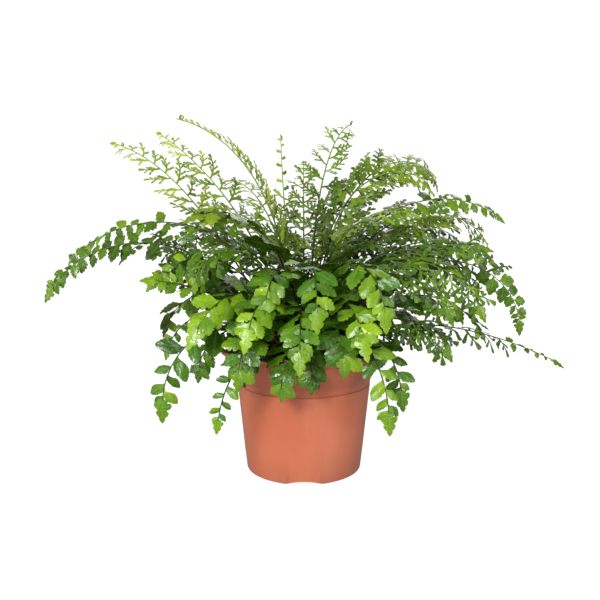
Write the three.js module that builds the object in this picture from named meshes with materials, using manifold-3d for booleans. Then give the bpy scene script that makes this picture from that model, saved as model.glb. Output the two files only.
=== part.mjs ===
// A glossy spleenwort fern in its round plastic nursery pot. Millimetres, +Z up.
// The origin is where the pot's axis meets the surface that the pot stands on.
// +X is to the right and -Y towards whoever looks at the plant from its front.
import * as THREE from "three";
import { mergeVertices } from "three/addons/utils/BufferGeometryUtils.js";
import Module from "manifold-3d";

// ---- Pot: a 13 cm nursery pot with a flared collar ----
const RIM_R = 65;
const RIM_Z = 97;
const SEAM_R = 51.4; // top of the plain body, under the crease
const SEAM_Z = 68;
const BASE_R = 44.7;
const WALL = 1.6;
const CREASE = 0.5; // depth of the crease, and its height
// The outside of the collar over the crease, as [radius, height], to just under the rim.
const COLLAR = [[SEAM_R, 69.6], [52, 72], [54.8, 77], [59, 85], [62.4, 93.4]];
const RIM_LIP = 2.2; // how far the thickened rim stands out from the collar's wall
const RIM_UNDERSIDE = 0.4; // slope of the rim's underside
const RIM_ROUND = 0.8;
const FOOT_ROUND = 1.5;
const FLOOR = 2.4;
const CHANNEL = { inner: 33, outer: 39.5, rise: 2.8, draft: 1 }; // drain channel under the pot
// Arched water gaps in the foot ring. Shoulder is where the arch bends, by its half width.
const NOTCH = { count: 4, halfWidth: 11, height: 3.2, shoulder: 0.6, steps: 3 };
const DRAIN = { count: 6, radius: 2.2, ring: 36.2, sides: 6 }; // holes in the channel's roof
const CUT_PAST = 1; // how far a cut runs past the face that it opens
const POT_SIDES = 32;

// ---- Potting mix and the fern's crown ----
const SOIL_Z = 84;
const CROWN_R = 27;
// The top of the mix from the pot's wall to the crown, as [radius, height over SOIL_Z].
const SOIL_TOP = [[55.7, -1.5], [46, 0], [36, 1.5], [CROWN_R + 1, 2.5], [0, 2.5]];
const SOIL_SIDES = 16;
const CROWN_SPAN = 29; // half width of the ellipse that the crown's top is cut from
const CROWN_TOP = 8.5; // height of the crown over the potting mix
const CROWN_RINGS = [CROWN_R, 25, 21, 15, 8, 0]; // radii of its profile
const CROWN_DEPTH = 11;
const CROWN_BEVEL = 4;
const CROWN_SIDES = 12;
const GAP = 0.3;

// ---- Fronds ----
const STEM_R = 1.1;
const STEM_SIDES = 4;
const STEM_STEPS = 3;
const ROOT_R = 1.2;
const ROOT_DEPTH = 9; // how deep a stem stands in the crown
const HOLE_ABOVE = 6; // its hole is cut from this far over the crown
const ROOT_ABOVE = 1.5; // straight start of a stem over the crown
const BLADE_T = 0.7;
const RIB_HALF = 0.9;
const STEM_END = 0.006; // the stem stops this share of the length before the first leaflet
const RIB_SUNK = 0.02; // and the blade's rib starts this much before it, inside the stem
const CURVE_STEPS = 32;
const CLEARANCE = 0.35; // kept between the blades of different fronds

// Leaflet outlines as [along the leaflet, across it], from the root's front edge round
// the tip and back. Across is in half widths, with the side towards the frond's tip first.
const LOBED = [[0.28, 0.95], [0.45, 0.5], [0.68, 0.8], [1, 0.1], [0.66, -0.85], [0.44, -0.45], [0.22, -1]];
const OVAL = [[0.34, 0.85], [0.72, 1], [1, 0.2], [0.78, -0.8], [0.25, -0.95]];
const WEDGE = [[0.35, 0.9], [0.9, 0.6], [0.95, -0.5], [0.3, -0.9]];
const SPEAR = [[0.42, 0.8], [1, 0], [0.3, -0.9]];
const TERMINAL = [[0.3, -1], [0.55, -0.5], [1, 0], [0.55, 0.5], [0.3, 1]];
const BUD = [[0.5, -0.9], [1, 0], [0.5, 0.9]];

// The three habits of frond. bare: share of the length with no leaflets; count: leaflets
// or pinnae; long: the longest one; slim: its half width by its length; tip: the end
// leaflet's length; lean: its angle to the rib; droop: its sag by its length.
const LEAFY = {
  bare: 0.36, count: 5, long: 25, taper: 0.5, slim: 0.36, lean: 62, droop: 0.2,
  outlines: [OVAL, WEDGE, WEDGE], tip: 17, tipOutline: TERMINAL,
};
const ARCHING = {
  bare: 0.34, count: 6, long: 32, taper: 0.28, slim: 0.3, lean: 66, droop: 0.35,
  outlines: [LOBED, WEDGE, SPEAR], tip: 11, tipOutline: BUD,
};
const FEATHERY = {
  bare: 0.4, count: 6, long: 33, taper: 0.2, slim: 0.23, lean: 60, droop: 0.18,
  outlines: [LOBED, WEDGE, SPEAR], tip: 8, tipOutline: BUD,
};
const TIP_SHARE = 0.97; // where the end leaflet stands on the rib
const CROWDING = 1.45; // over 1 the leaflets stand closer together towards the tip
const TAPER_BEND = 1.1; // over 1 the leaflets stay long for more of the rib
const RIB_TAPER = 0.4; // how much narrower the rib is at the tip, by its width
const LARGE_SHARE = 0.86; // leaflets over this share of the longest take the first outline
const MIDDLE_SHARE = 0.5; // and over this one the second

// Every frond, chosen by eye: [name, habit, root radius, azimuth, length, rise, fall, bend,
// turn, size]. Rise and fall are the stem's slopes at the crown and at the tip in degrees, a
// bend over 1 keeps the arch for the outer part, turn rolls the blade about its own rib, and
// size is that of its leaflets by its habit's.
const FRONDS = [
  ["upright_right_low", FEATHERY, 5, 20, 200, 85, -45, 2.5, 50, 1],
  ["upright_right_arch", FEATHERY, 9.5, 40, 240, 85, -40, 1.8, 50, 1],
  ["upright_right_tall", FEATHERY, 9.5, 65, 215, 86, 5, 2.4, 30, 1],
  ["upright_right_wide", FEATHERY, 18.5, 22, 212, 86, -45, 1.3, 45, 1],
  ["upright_back", FEATHERY, 9.5, 90, 170, 84, 30, 1.5, 0, 1],
  ["upright_centre", FEATHERY, 5, 110, 175, 62, 85, 1, 0, 1],
  ["upright_back_left", FEATHERY, 9.5, 125, 190, 80, -10, 1.8, -15, 1],
  ["upright_left_tall", FEATHERY, 9.5, 150, 220, 76, 28, 1, -50, 1],
  ["upright_left_wide", FEATHERY, 14, 162, 225, 58, 12, 3, -50, 1],
  ["upright_left_high", FEATHERY, 5, 170, 215, 84, 10, 2.2, -10, 1],
  ["upright_left_front", FEATHERY, 5, 222, 160, 84, -15, 1.8, -20, 1],
  ["upright_right_front", FEATHERY, 5, 320, 165, 84, -20, 1.8, 20, 1],
  ["arch_left_upper", ARCHING, 9.5, 176, 234, 88, -45, 1, -45, 0.9],
  ["arch_left_lower", ARCHING, 14, 188, 225, 62, -61, 1.55, -60, 1],
  ["arch_left_near", LEAFY, 14, 206, 123, 53, 8, 1, -50, 0.75],
  ["arch_left_short", ARCHING, 18.5, 197, 130, 58, -55, 3, -50, 1],
  ["arch_left_front", LEAFY, 9.5, 202, 140, 61, -71, 3, -50, 0.8],
  ["arch_left_inner", ARCHING, 18.5, 218, 150, 88, -88, 2.1, -40, 0.8],
  ["arch_front_left", LEAFY, 9.5, 250, 120, 85, -80, 2, -15, 1],
  ["arch_front", LEAFY, 9.5, 275, 145, 85, -82, 1.7, 0, 1],
  ["arch_front_right", LEAFY, 9.5, 300, 155, 80, -84, 1.75, 20, 1],
  ["arch_right_front", ARCHING, 14, 318, 160, 78, -60, 1.3, 40, 1],
  ["arch_right_low", ARCHING, 9.5, 338, 180, 84, -66, 1.2, 50, 1],
  ["arch_right_near", ARCHING, 14, 350, 160, 84, -10, 0.9, 35, 1],
  ["arch_right_mid", ARCHING, 23, 2, 176, 84, -78, 1.5, 50, 1],
  ["arch_right_far", ARCHING, 14, 8, 186, 83, -39, 1.1, 45, 0.9],
  ["arch_right_drooping", ARCHING, 18.5, 356, 203, 62, -88, 1.66, 75, 1],
  ["arch_right_upper", ARCHING, 9.5, 12, 222, 87, -35, 1.25, 45, 1],
  ["arch_back_1", ARCHING, 14, 30, 205, 76, -50, 1.4, 0, 1],
  ["arch_back_2", ARCHING, 14, 52, 195, 80, -35, 1.2, 0, 1],
  ["arch_back_3", ARCHING, 14, 76, 205, 76, -55, 1.3, 0, 1],
  ["arch_back_4", ARCHING, 14, 101, 190, 80, -40, 1.1, 0, 1],
  ["arch_back_5", ARCHING, 14, 136, 205, 74, -50, 1.3, 0, 1],
  ["mid_front_left", LEAFY, 14, 226, 125, 86, -55, 1.1, -35, 1.15],
  ["mid_front", LEAFY, 14, 246, 116, 86, -65, 1.3, -20, 1.05],
  ["mid_front_centre", LEAFY, 14, 268, 112, 86, -70, 1.1, 0, 1],
  ["mid_front_right", LEAFY, 14, 294, 118, 86, -65, 1.2, 20, 1.1],
  ["mid_back_right", LEAFY, 23, 54, 110, 80, -70, 1.1, 0, 1],
  ["mid_back_left", LEAFY, 18.5, 105, 112, 84, -70, 1.1, 0, 1],
  ["low_right_long", ARCHING, 18.5, 343, 179, 63, -25, 0.43, 20, 0.8],
  ["low_right_inner", ARCHING, 23, 330, 112, 50, -62, 1.6, 50, 0.9],
  ["low_front_right_side", LEAFY, 18.5, 320, 102, 84, -84, 0.75, 50, 1.05],
  ["low_front_right_long", LEAFY, 23, 300, 126, 78, -85, 0.8, 30, 1],
  ["low_front_right", LEAFY, 18.5, 289, 98, 86, -85, 1.2, 20, 1],
  ["low_front", LEAFY, 23, 274, 70, 74, -85, 1, 0, 0.85],
  ["low_front_left", LEAFY, 18.5, 258, 78, 62, -84, 1, 0, 0.85],
  ["low_left_bright", LEAFY, 18.5, 240, 106, 86, -85, 1, -25, 1.05],
  ["low_left_over_rim", LEAFY, 23, 233, 101, 62, -79, 0.69, -37, 0.7],
  ["low_left_long", LEAFY, 23, 214, 134, 64, -88, 1, -50, 1.1],
  ["low_left_inner", LEAFY, 23, 199, 88, 86, -86, 0.85, -60, 1.1],
  ["low_left_side", LEAFY, 23, 184, 110, 72, -75, 1.1, -60, 1.05],
  ["low_back_1", LEAFY, 23, 12, 150, 66, -55, 1, 0, 1],
  ["low_back_2", LEAFY, 18.5, 42, 140, 70, -65, 1, 0, 1],
  ["low_back_3", LEAFY, 18.5, 66, 150, 66, -60, 1, 0, 1],
  ["low_back_4", LEAFY, 18.5, 92, 140, 70, -65, 1, 0, 1],
  ["low_back_5", LEAFY, 18.5, 118, 150, 66, -60, 1, 0, 1],
  ["low_back_6", LEAFY, 18.5, 150, 145, 68, -60, 1, 0, 1],
];

const POT_COLOUR = 0xc4633f;
const SOIL_COLOUR = 0x2e2119;
const CROWN_COLOUR = 0x3a2417;
const FROND_COLOURS = new Map([[LEAFY, 0x4f9428], [ARCHING, 0x41782b], [FEATHERY, 0x6fa23a]]);

const wasm = await Module();
wasm.setup();
const rad = THREE.MathUtils.degToRad;
const Z_AXIS = new THREE.Vector3(0, 0, 1);

// ---- Solids: joining and cutting ----
function solidOf(geometry) {
  const plain = geometry.clone();
  plain.deleteAttribute("normal");
  plain.deleteAttribute("uv");
  const merged = mergeVertices(plain, 1e-4);
  return new wasm.Manifold(
    new wasm.Mesh({
      numProp: 3,
      vertProperties: merged.attributes.position.array,
      triVerts: new Uint32Array(merged.index.array),
    }),
  );
}

function geometryOf(solid) {
  const { vertProperties, triVerts } = solid.getMesh();
  const geometry = new THREE.BufferGeometry();
  geometry.setAttribute("position", new THREE.BufferAttribute(vertProperties, 3));
  geometry.setIndex(new THREE.BufferAttribute(triVerts, 1));
  return geometry;
}

const lathe = (profile, sides) =>
  new THREE.LatheGeometry(profile.map(([r, z]) => new THREE.Vector2(r, z)), sides).rotateX(Math.PI / 2);

const upright = (radius, low, high, sides, x = 0, y = 0) =>
  new THREE.CylinderGeometry(radius, radius, high - low, sides).rotateX(Math.PI / 2)
    .translate(x, y, (low + high) / 2);

// ---- Pot ----
const ROOF = CHANNEL.rise + FLOOR; // inside height of the floor over the channel
const ROOF_R = THREE.MathUtils.mapLinear(ROOF, FOOT_ROUND, SEAM_Z, BASE_R, SEAM_R) - WALL;

function potSolid() {
  const [collarR, collarZ] = COLLAR.at(-1);
  const shell = lathe([
    [0, 0],
    [CHANNEL.inner, 0],
    [CHANNEL.inner + CHANNEL.draft, CHANNEL.rise],
    [CHANNEL.outer, CHANNEL.rise],
    [CHANNEL.outer + CHANNEL.draft, 0],
    [BASE_R - FOOT_ROUND, 0],
    [BASE_R, FOOT_ROUND],
    [SEAM_R, SEAM_Z],
    [SEAM_R - CREASE, SEAM_Z + CREASE],
    ...COLLAR,
    [collarR + RIM_LIP, collarZ + RIM_UNDERSIDE],
    [RIM_R, RIM_Z - RIM_ROUND],
    [RIM_R - RIM_ROUND, RIM_Z],
    [RIM_R - RIM_ROUND - RIM_LIP, RIM_Z],
    ...COLLAR.slice(2).reverse().map(([r, z]) => [r - WALL, z]),
    [SEAM_R - WALL, SEAM_Z],
    [ROOF_R, ROOF],
    [CHANNEL.inner - WALL + CHANNEL.draft, ROOF],
    [CHANNEL.inner - WALL, FLOOR],
    [0, FLOOR],
  ], POT_SIDES);
  let pot = solidOf(shell);
  for (let i = 0; i < NOTCH.count; i += 1) {
    const bend = NOTCH.halfWidth * NOTCH.shoulder;
    const arch = new THREE.Shape()
      .moveTo(-NOTCH.halfWidth, -CUT_PAST)
      .lineTo(NOTCH.halfWidth, -CUT_PAST)
      .quadraticCurveTo(bend, NOTCH.height, 0, NOTCH.height)
      .quadraticCurveTo(-bend, NOTCH.height, -NOTCH.halfWidth, -CUT_PAST);
    const depth = BASE_R + CUT_PAST - CHANNEL.outer;
    const notch = new THREE.ExtrudeGeometry(arch, { depth, bevelEnabled: false, curveSegments: NOTCH.steps })
      .rotateX(Math.PI / 2)
      .translate(0, -CHANNEL.outer, 0)
      .rotateZ((i * 2 * Math.PI) / NOTCH.count);
    pot = pot.subtract(solidOf(notch));
  }
  for (let i = 0; i < DRAIN.count; i += 1) {
    const angle = ((i + 0.5) * 2 * Math.PI) / DRAIN.count;
    const [x, y] = [DRAIN.ring * Math.cos(angle), DRAIN.ring * Math.sin(angle)];
    pot = pot.subtract(solidOf(upright(DRAIN.radius, 0, ROOF + CUT_PAST, DRAIN.sides, x, y)));
  }
  return pot;
}

// ---- Crown and potting mix ----
const crownHeight = (r) => SOIL_Z + CROWN_TOP * Math.sqrt(1 - (r / CROWN_SPAN) ** 2);

function crownSolid(roots) {
  const bottom = SOIL_Z - CROWN_DEPTH;
  const dome = CROWN_RINGS.map((r) => [r, crownHeight(r)]);
  const foot = [[0, bottom], [CROWN_R - CROWN_BEVEL, bottom], [CROWN_R, bottom + CROWN_BEVEL]];
  let crown = solidOf(lathe([...foot, ...dome], CROWN_SIDES));
  for (const { place, azimuth } of roots) {
    const surface = place.z - ROOT_ABOVE;
    const hole = upright(ROOT_R + GAP * Math.SQRT2, surface - ROOT_DEPTH - GAP, surface + HOLE_ABOVE, STEM_SIDES)
      .rotateZ(rad(azimuth))
      .translate(place.x, place.y, 0);
    crown = crown.subtract(solidOf(hole));
  }
  return crown;
}

function soilSolid() {
  const inside = COLLAR.slice(2).map(([r, z]) => [r - WALL - GAP, z]).filter(([, z]) => z < SOIL_Z);
  const bed = lathe([
    [0, FLOOR + GAP],
    [CHANNEL.inner - WALL - 2 * GAP, FLOOR + GAP],
    [CHANNEL.inner - WALL + CHANNEL.draft - GAP, ROOF + GAP],
    [ROOF_R - 2 * GAP, ROOF + GAP],
    [SEAM_R - WALL - GAP, SEAM_Z],
    ...inside,
    ...SOIL_TOP.map(([r, z]) => [r, SOIL_Z + z]),
  ], SOIL_SIDES);
  const hollow = upright(CROWN_R + 3 * GAP, SOIL_Z - CROWN_DEPTH - GAP, SOIL_Z + CROWN_TOP, SOIL_SIDES);
  return solidOf(bed).subtract(solidOf(hollow));
}

// ---- A frond's curve ----
// Points of the rib from the crown to the tip, with the slope running from rise to fall.
function ribCurve(frond) {
  const [, , radius, azimuth, length, rise, fall, bend] = frond;
  const heading = new THREE.Vector3(Math.cos(rad(azimuth)), Math.sin(rad(azimuth)), 0);
  const start = heading.clone().multiplyScalar(radius).setZ(crownHeight(radius) + ROOT_ABOVE);
  const points = [start];
  for (let i = 0; i < CURVE_STEPS; i += 1) {
    const slope = rad(rise + (fall - rise) * ((i + 0.5) / CURVE_STEPS) ** bend);
    const step = heading.clone().multiplyScalar(Math.cos(slope)).setZ(Math.sin(slope));
    points.push(points[i].clone().addScaledVector(step, length / CURVE_STEPS));
  }
  return points;
}

// The place and the frame on the rib at a share of its length: along, to the left, and up
// out of the blade's face.
function ribFrame(frond, points, share) {
  const [, , , azimuth, , rise, fall, bend, turn] = frond;
  const at = Math.min(share * CURVE_STEPS, CURVE_STEPS - 1e-9);
  const place = points[Math.floor(at)].clone().lerp(points[Math.floor(at) + 1], at % 1);
  const slope = rad(rise + (fall - rise) * share ** bend);
  const along = new THREE.Vector3(
    Math.cos(slope) * Math.cos(rad(azimuth)), Math.cos(slope) * Math.sin(rad(azimuth)), Math.sin(slope),
  );
  const left = new THREE.Vector3(-Math.sin(rad(azimuth)), Math.cos(rad(azimuth)), 0);
  left.applyAxisAngle(along, rad(turn * share));
  return { place, along, left, up: along.clone().cross(left) };
}

// ---- Thin plates ----
// A sheet's mid points, each with the normal that its thickness follows, and its triangles.
class Sheet {
  constructor() {
    this.points = [];
    this.normals = [];
    this.triangles = [];
  }

  addPoint(point, normal) {
    this.points.push(point);
    this.normals.push(normal);
    return this.points.length - 1;
  }

  addPolygon(indices, outline) {
    for (const corners of THREE.ShapeUtils.triangulateShape(outline, [])) {
      this.triangles.push(corners.map((corner) => indices[corner]));
    }
  }

  // Both faces share one set of triangles, and the open edges are closed by walls.
  solid(thickness) {
    const count = this.points.length;
    const positions = [0.5, -0.5].flatMap((side) => this.points.flatMap((point, i) =>
      point.clone().addScaledVector(this.normals[i], side * thickness).toArray()));
    const edges = new Set(this.triangles.flatMap(([a, b, c]) => [`${a} ${b}`, `${b} ${c}`, `${c} ${a}`]));
    const faces = this.triangles.flatMap(([a, b, c]) => [a, b, c, count + c, count + b, count + a]);
    for (const edge of edges) {
      const [a, b] = edge.split(" ").map(Number);
      if (!edges.has(`${b} ${a}`)) faces.push(b, a, count + a, b, count + a, count + b);
    }
    return new wasm.Manifold(new wasm.Mesh({
      numProp: 3, vertProperties: new Float32Array(positions), triVerts: new Uint32Array(faces),
    }));
  }
}

// The corners of one leaflet in the frame of its root: side is 1 on the left of the rib, -1
// on the right and 0 at the end of the rib, where it points straight on. Each corner has its
// place on the leaflet's flat pattern, its point and the normal of the face there.
function leafletCorners(frame, leaflet, habit, length, lift) {
  const { side, outline } = leaflet;
  const lean = rad(side === 0 ? 0 : habit.lean);
  const turn = side === 0 ? -1 : side;
  const cosLift = Math.cos(rad(lift));
  const sinLift = Math.sin(rad(lift));
  return outline.map(([a, b]) => {
    const out = length * a * cosLift;
    const across = length * b * habit.slim;
    const forward = out * Math.cos(lean) + across * Math.sin(lean);
    const sideways = side * out * Math.sin(lean) - turn * across * Math.cos(lean);
    const height = length * (a * sinLift - habit.droop * a * a);
    const slope = (sinLift - 2 * habit.droop * a) / cosLift;
    const axis = frame.along.clone().multiplyScalar(Math.cos(lean))
      .addScaledVector(frame.left, side * Math.sin(lean));
    return {
      flat: new THREE.Vector2(forward, sideways),
      point: frame.place.clone().addScaledVector(frame.along, forward)
        .addScaledVector(frame.left, sideways).addScaledVector(frame.up, height),
      normal: frame.up.clone().addScaledVector(axis, -slope).normalize(),
    };
  });
}

// The leaflets of a frond: each one's stretch of the rib, its side, outline and length.
function leafletPlan(frond) {
  const [habit, size] = [frond[1], frond.at(-1)];
  const stretch = (i) => habit.bare + (TIP_SHARE - habit.bare) * (1 - (1 - i / habit.count) ** CROWDING);
  const plan = [];
  for (let i = 0; i < habit.count; i += 1) {
    const share = 1 - (1 - habit.taper) * (i / (habit.count - 1)) ** TAPER_BEND;
    const rank = share > LARGE_SHARE ? 0 : share > MIDDLE_SHARE ? 1 : 2;
    plan.push({
      from: stretch(i), to: stretch(i + 1), side: i % 2 === 0 ? 1 : -1,
      length: habit.long * size * share, outline: habit.outlines[rank],
    });
  }
  const end = { from: TIP_SHARE, to: TIP_SHARE, side: 0 };
  plan.push({ ...end, length: habit.tip * size, outline: habit.tipOutline });
  return plan;
}

// ---- Keeping fronds clear of each other ----
const LIFTS = [8, -10, 24, -28, 40, -46];
const SIZES = [1, 0.75, 0.5];
const TEST_SCALE = 1.04;

function obstacle(solid, owner) {
  const { min, max } = solid.boundingBox();
  return { solid, owner, box: new THREE.Box3(new THREE.Vector3(...min), new THREE.Vector3(...max)) };
}

const meets = (a, b) => a.box.intersectsBox(b.box) && a.solid.intersect(b.solid).volume() > 0;

// A leaflet by itself, a little larger and thicker than it is, to try against the others.
function leafletObstacle(corners, flats, centre, owner) {
  const sheet = new Sheet();
  const indices = corners.map(({ point, normal }) =>
    sheet.addPoint(point.clone().sub(centre).multiplyScalar(TEST_SCALE).add(centre), normal));
  sheet.addPolygon(indices, flats);
  return obstacle(sheet.solid(BLADE_T + 2 * CLEARANCE), owner);
}

// ---- Fronds ----
// A closed tube of corners round each ring's place, in the plane of its left and up.
function tubeSolid(rings) {
  const positions = rings.flatMap(({ place, left, up, radius }) =>
    Array.from({ length: STEM_SIDES }, (_, i) => {
      const angle = (i * 2 * Math.PI) / STEM_SIDES;
      return place.clone().addScaledVector(left, radius * Math.cos(angle))
        .addScaledVector(up, radius * Math.sin(angle)).toArray();
    }).flat());
  const faces = [];
  for (let base = 0; base < (rings.length - 1) * STEM_SIDES; base += STEM_SIDES) {
    for (let i = 0; i < STEM_SIDES; i += 1) {
      const [near, next] = [base + i, base + ((i + 1) % STEM_SIDES)];
      faces.push(near, next, next + STEM_SIDES, near, next + STEM_SIDES, near + STEM_SIDES);
    }
  }
  const last = (rings.length - 1) * STEM_SIDES;
  for (let i = 1; i + 1 < STEM_SIDES; i += 1) {
    faces.push(0, i + 1, i, last, last + i, last + i + 1);
  }
  return new wasm.Manifold(new wasm.Mesh({
    numProp: 3, vertProperties: new Float32Array(positions), triVerts: new Uint32Array(faces),
  }));
}

// The root stands plumb in its hole, and the stem bends away over it.
function stemSolid(frond, points) {
  const [, habit, , azimuth] = frond;
  const left = new THREE.Vector3(-Math.sin(rad(azimuth)), Math.cos(rad(azimuth)), 0);
  const across = { left, up: Z_AXIS.clone().cross(left), radius: ROOT_R };
  const foot = points[0].clone().addScaledVector(Z_AXIS, -ROOT_ABOVE - ROOT_DEPTH);
  const rings = [{ place: foot, ...across }, { place: points[0], ...across }];
  for (let i = 1; i <= STEM_STEPS; i += 1) {
    const share = (i / STEM_STEPS) * (habit.bare - STEM_END);
    rings.push({ ...ribFrame(frond, points, share), radius: STEM_R });
  }
  return tubeSolid(rings);
}

// The rib's strip of sheet, with the indices of its left and right edges at each station.
function ribSheet(frond, points, plan) {
  const sheet = new Sheet();
  const shares = [frond[1].bare - RIB_SUNK, ...plan.map(({ from }) => from)];
  const edges = shares.map((share) => {
    const { place, left, up } = ribFrame(frond, points, share);
    const half = RIB_HALF * (1 - RIB_TAPER * share);
    return {
      left: sheet.addPoint(place.clone().addScaledVector(left, half), up),
      right: sheet.addPoint(place.clone().addScaledVector(left, -half), up),
    };
  });
  for (let i = 0; i + 1 < edges.length; i += 1) {
    const [near, far] = [edges[i], edges[i + 1]];
    sheet.triangles.push([near.right, far.right, far.left], [near.right, far.left, near.left]);
  }
  return { sheet, edges };
}

// The first size and lift at which a leaflet meets nothing of another frond.
function settleLeaflet(frondParts, leaflet, index, placed) {
  const { frond, points, sheet, edges, owner } = frondParts;
  const { from, to, side, length } = leaflet;
  const frame = ribFrame(frond, points, (from + to) / 2);
  const near = edges[index + 1];
  const far = edges[Math.min(index + 2, edges.length - 1)];
  const ends = side === 0 ? [near.left, near.right] : side === 1 ? [near.left, far.left] : [far.right, near.right];
  const roots = ends.map((end) => {
    const fromPlace = sheet.points[end].clone().sub(frame.place);
    return {
      flat: new THREE.Vector2(fromPlace.dot(frame.along), fromPlace.dot(frame.left)),
      point: sheet.points[end],
      normal: sheet.normals[end],
    };
  });
  for (const size of SIZES) {
    for (const lift of LIFTS) {
      const outer = leafletCorners(frame, leaflet, frond[1], length * size, lift);
      if (side === -1) outer.reverse();
      const corners = [...roots, ...outer];
      const flats = corners.map(({ flat }) => flat);
      const test = leafletObstacle(corners, flats, frame.place, owner);
      if (placed.some((other) => other.owner !== owner && meets(other, test))) continue;
      placed.push(test);
      sheet.addPolygon([...ends, ...outer.map(({ point, normal }) => sheet.addPoint(point, normal))], flats);
      return;
    }
  }
}

function growFronds(fixed) {
  const grown = FRONDS.map((frond, owner) => {
    const points = ribCurve(frond);
    const plan = leafletPlan(frond);
    return { frond, points, plan, owner, stem: stemSolid(frond, points), ...ribSheet(frond, points, plan) };
  });
  const placed = [...fixed];
  for (const { sheet, stem, owner } of grown) {
    placed.push(obstacle(sheet.solid(BLADE_T + 2 * CLEARANCE), owner), obstacle(stem, owner));
  }
  for (const frondParts of grown) {
    frondParts.plan.forEach((leaflet, index) => settleLeaflet(frondParts, leaflet, index, placed));
  }
  return grown;
}

// ---- The whole plant ----
const plant = new THREE.Group();

function addPiece(name, solid, color, roughness) {
  const material = new THREE.MeshStandardMaterial({ color, roughness, metalness: 0 });
  const mesh = new THREE.Mesh(geometryOf(solid), material);
  mesh.name = name;
  plant.add(mesh);
}

const roots = FRONDS.map((frond) => ({ place: ribCurve(frond)[0], azimuth: frond[3] }));
const pot = potSolid();
const crown = crownSolid(roots);
const soil = soilSolid();
addPiece("pot", pot, POT_COLOUR, 0.45);
addPiece("potting_mix", soil, SOIL_COLOUR, 1);
addPiece("crown", crown, CROWN_COLOUR, 0.9);
for (const { frond, sheet, stem } of growFronds([obstacle(pot, -1), obstacle(soil, -1)])) {
  addPiece("frond_" + frond[0], stem.add(sheet.solid(BLADE_T)), FROND_COLOURS.get(frond[1]), 0.4);
}

export default plant;
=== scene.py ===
"""A glossy spleenwort fern in its round plastic nursery pot, dressed round its CAD frame.

Blender objects are in metres. The sizes below are in millimetres, in the part's own frame:
+Z is up, -Y is towards whoever looks at the plant from its front, and z 0 is the ground.
"""
import math

import bmesh
import bpy
import numpy as np
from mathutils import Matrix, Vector, noise


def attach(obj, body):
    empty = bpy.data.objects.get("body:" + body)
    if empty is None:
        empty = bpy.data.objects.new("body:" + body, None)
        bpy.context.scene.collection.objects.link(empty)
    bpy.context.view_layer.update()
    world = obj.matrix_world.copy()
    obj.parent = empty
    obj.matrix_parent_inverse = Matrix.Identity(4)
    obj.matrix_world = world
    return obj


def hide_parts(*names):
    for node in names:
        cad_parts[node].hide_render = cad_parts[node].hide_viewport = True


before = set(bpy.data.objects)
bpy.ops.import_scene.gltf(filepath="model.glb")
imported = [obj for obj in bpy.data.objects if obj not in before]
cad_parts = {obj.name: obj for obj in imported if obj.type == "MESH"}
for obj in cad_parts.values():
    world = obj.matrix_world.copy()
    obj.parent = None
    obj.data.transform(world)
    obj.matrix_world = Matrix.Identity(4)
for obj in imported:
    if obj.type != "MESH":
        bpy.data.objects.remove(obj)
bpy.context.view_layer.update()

MM = .001
SEED = 11

# ---- Camera: a perspective view, 600 mm in front of the pot's axis ----
CAMERA_PLACE = (-2.94, -600, 228)
CAMERA_PITCH = 9.12  # degrees down from the horizon
CAMERA_LENS = 47.556
CAMERA_SENSOR = 36

# ---- Pot: its outline as (radius, height), from the axis under it to the rim and inside ----
WALL = 1.6
FLOOR = 2.4
CHANNEL_TOP = 2.8  # the drain channel between the pot's floor and its foot ring
STEP = 5.2  # the pot's floor over that channel
FOOT = [(0, 0), (20, 0), (33, 0), (33.6, .6), (34, CHANNEL_TOP), (39.5, CHANNEL_TOP), (40.2, .5),
        (40.5, 0), (43.2, 0), (44.2, .5)]
BODY = [(44.7, 1.5), (46.4, 18), (48.1, 35), (49.8, 52), (51.4, 67.7)]
CREASE = [(51.2, 68), (50.8, 68.3), (50.8, 68.8), (51.2, 69.1)]
COLLAR = [(51.4, 69.6), (51.6, 71), (52.4, 73.2), (53.6, 75.4), (55.4, 78.2), (57.3, 81.7), (59, 85),
          (60.4, 88), (61.5, 90.8), (62.4, 93.4)]
RIM = [(63.6, 93.5), (64.6, 93.9), (65, 94.9), (65, 96), (64.6, 96.7), (63.9, 97), (63, 97), (62.3, 96.7)]
INSIDE = [(49.8, 68), (46.4, 35), (43.4, STEP), (32.4, STEP), (31.4, FLOOR), (0, FLOOR)]
POT_SEGMENTS = 160
POT_SHARP = 30  # degrees; an edge that turns by more is shown sharp
CREASE_SHADE_Z = 68.55  # the middle of the painted shade line in the crease
CREASE_SHADE_CORE = .25  # half the width of its darkest part
CREASE_SHADE_HALF = .75

# Water gaps in the foot ring.
NOTCH_COUNT = 4
NOTCH_HALF_WIDTH = 14
NOTCH_TOP = CHANNEL_TOP - .05
NOTCH_ROUND = .8  # under 1 a gap's arch is fuller than a cosine
NOTCH_SLANT = .2  # keeps the steps of the ring's edge apart in a gap
RING_INNER = 40
RING_OUTER = 46
RING_TOP = 1.6

DRAIN_COUNT = 6
DRAIN_R = 2.2
DRAIN_RING = 36.2
DRAIN_SIDES = 24
DRAIN_CUT = 12  # the length of a hole's cutter, whose middle is at DRAIN_Z
DRAIN_Z = 4

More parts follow.
